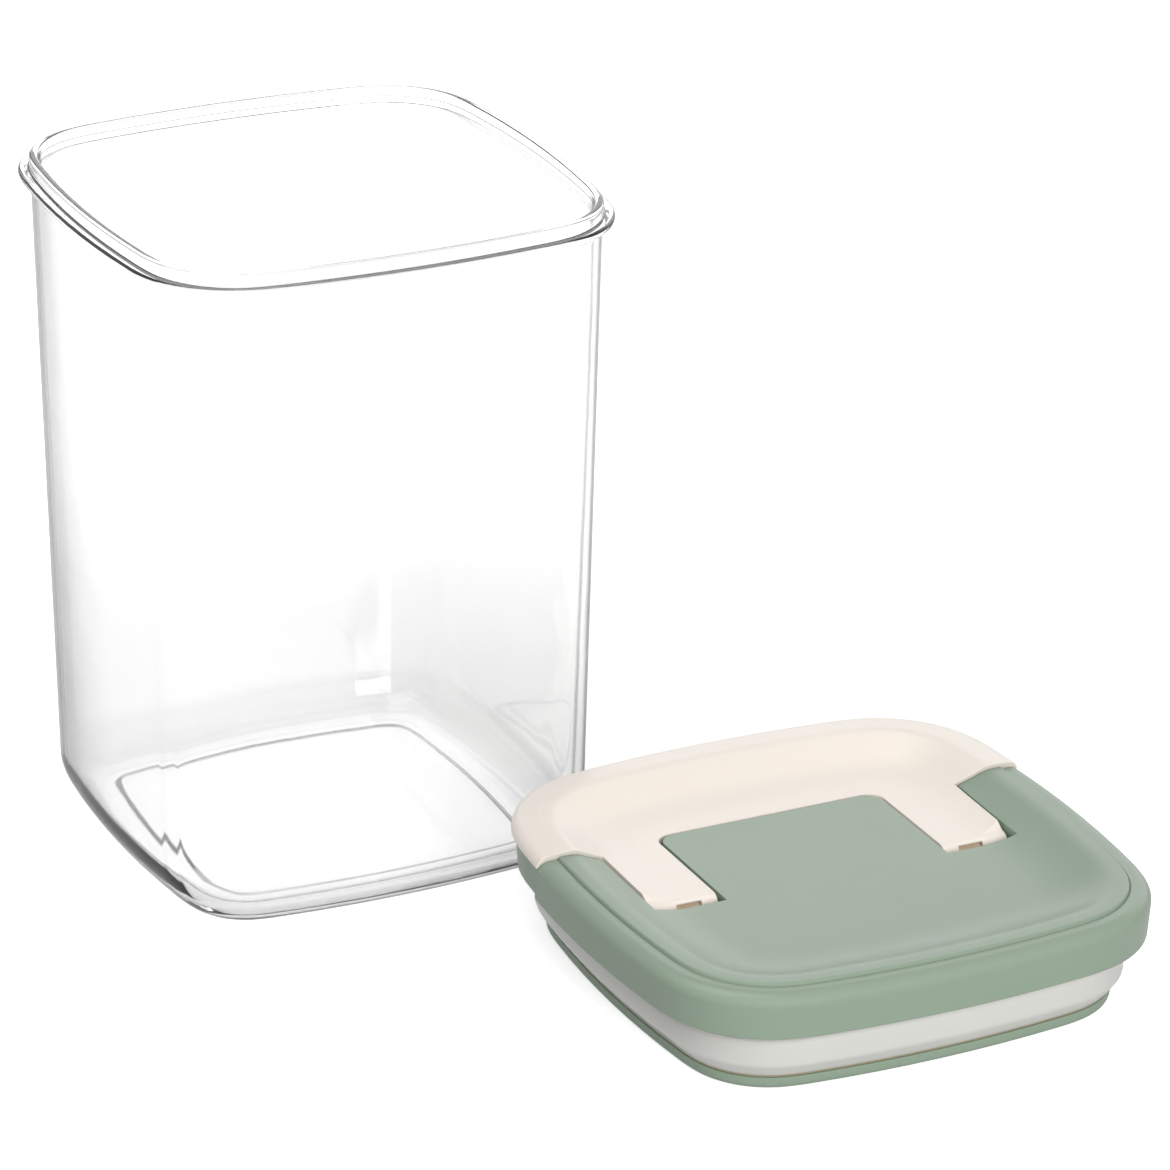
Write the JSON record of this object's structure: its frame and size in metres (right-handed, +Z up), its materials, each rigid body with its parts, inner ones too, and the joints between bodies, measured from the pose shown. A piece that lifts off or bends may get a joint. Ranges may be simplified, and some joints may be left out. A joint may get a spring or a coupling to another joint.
{
  "type": "storage jar",
  "caption": "Clear square storage jar with bowed sides and a low neck, and a dished flip-lever lid with a soft expanding seal standing beside it.",
  "frame": {"origin": "centre of the jar's foot on the surface it stands on; the lid stands on its lower plate in front of the jar, to its right", "axes": "+Z up along the jar's middle; X and Y square to the jar's sides; the lid's lever opens about +X and its handle lies towards +Y, the jar"},
  "size_m": [0.1989, 0.2381, 0.1627],
  "materials": {
    "clear_plastic": "clear and polished",
    "green_plastic": "smooth satin, pale sage green",
    "carrier_plastic": "smooth, pale grey green",
    "cream_plastic": "smooth satin, warm cream",
    "soft_seal": "milky silicone, slightly translucent",
    "pin_steel": "plain drawn wire"
  },
  "bodies": {
    "jar": {"jar_body": "clear_plastic"},
    "lid_base": {"lower_plate": "green_plastic", "pull_post_left": "cream_plastic", "pull_post_right": "cream_plastic", "seal_ring": "soft_seal"},
    "lever": {"flip_lever": "cream_plastic", "hinge_pin_left": "pin_steel", "hinge_pin_right": "pin_steel"},
    "cover": {"lid_cover": "green_plastic", "seal_carrier": "carrier_plastic"}
  },
  "joints": [
    {"name": "lid_lift", "type": "slide", "parent": "jar", "child": "lid_base", "axis": [0, -0.0499, 0.9988], "range_m": [0, 0.08]},
    {"name": "lever_flip", "type": "hinge", "parent": "lid_base", "child": "lever", "pos_m": [0.0756, -0.11478, 0.01915], "axis": [1, 0, 0], "range_deg": [0, 90]},
    {"name": "cover_rise", "type": "slide", "parent": "lid_base", "child": "cover", "axis": [0, 0, 1], "range_m": [0, 0.003], "deforming": ["seal_ring"]}
  ],
  "couplings": [
    {"joint": "cover_rise", "follows": "lever_flip", "m_per_rad": 0.0019099}
  ]
}
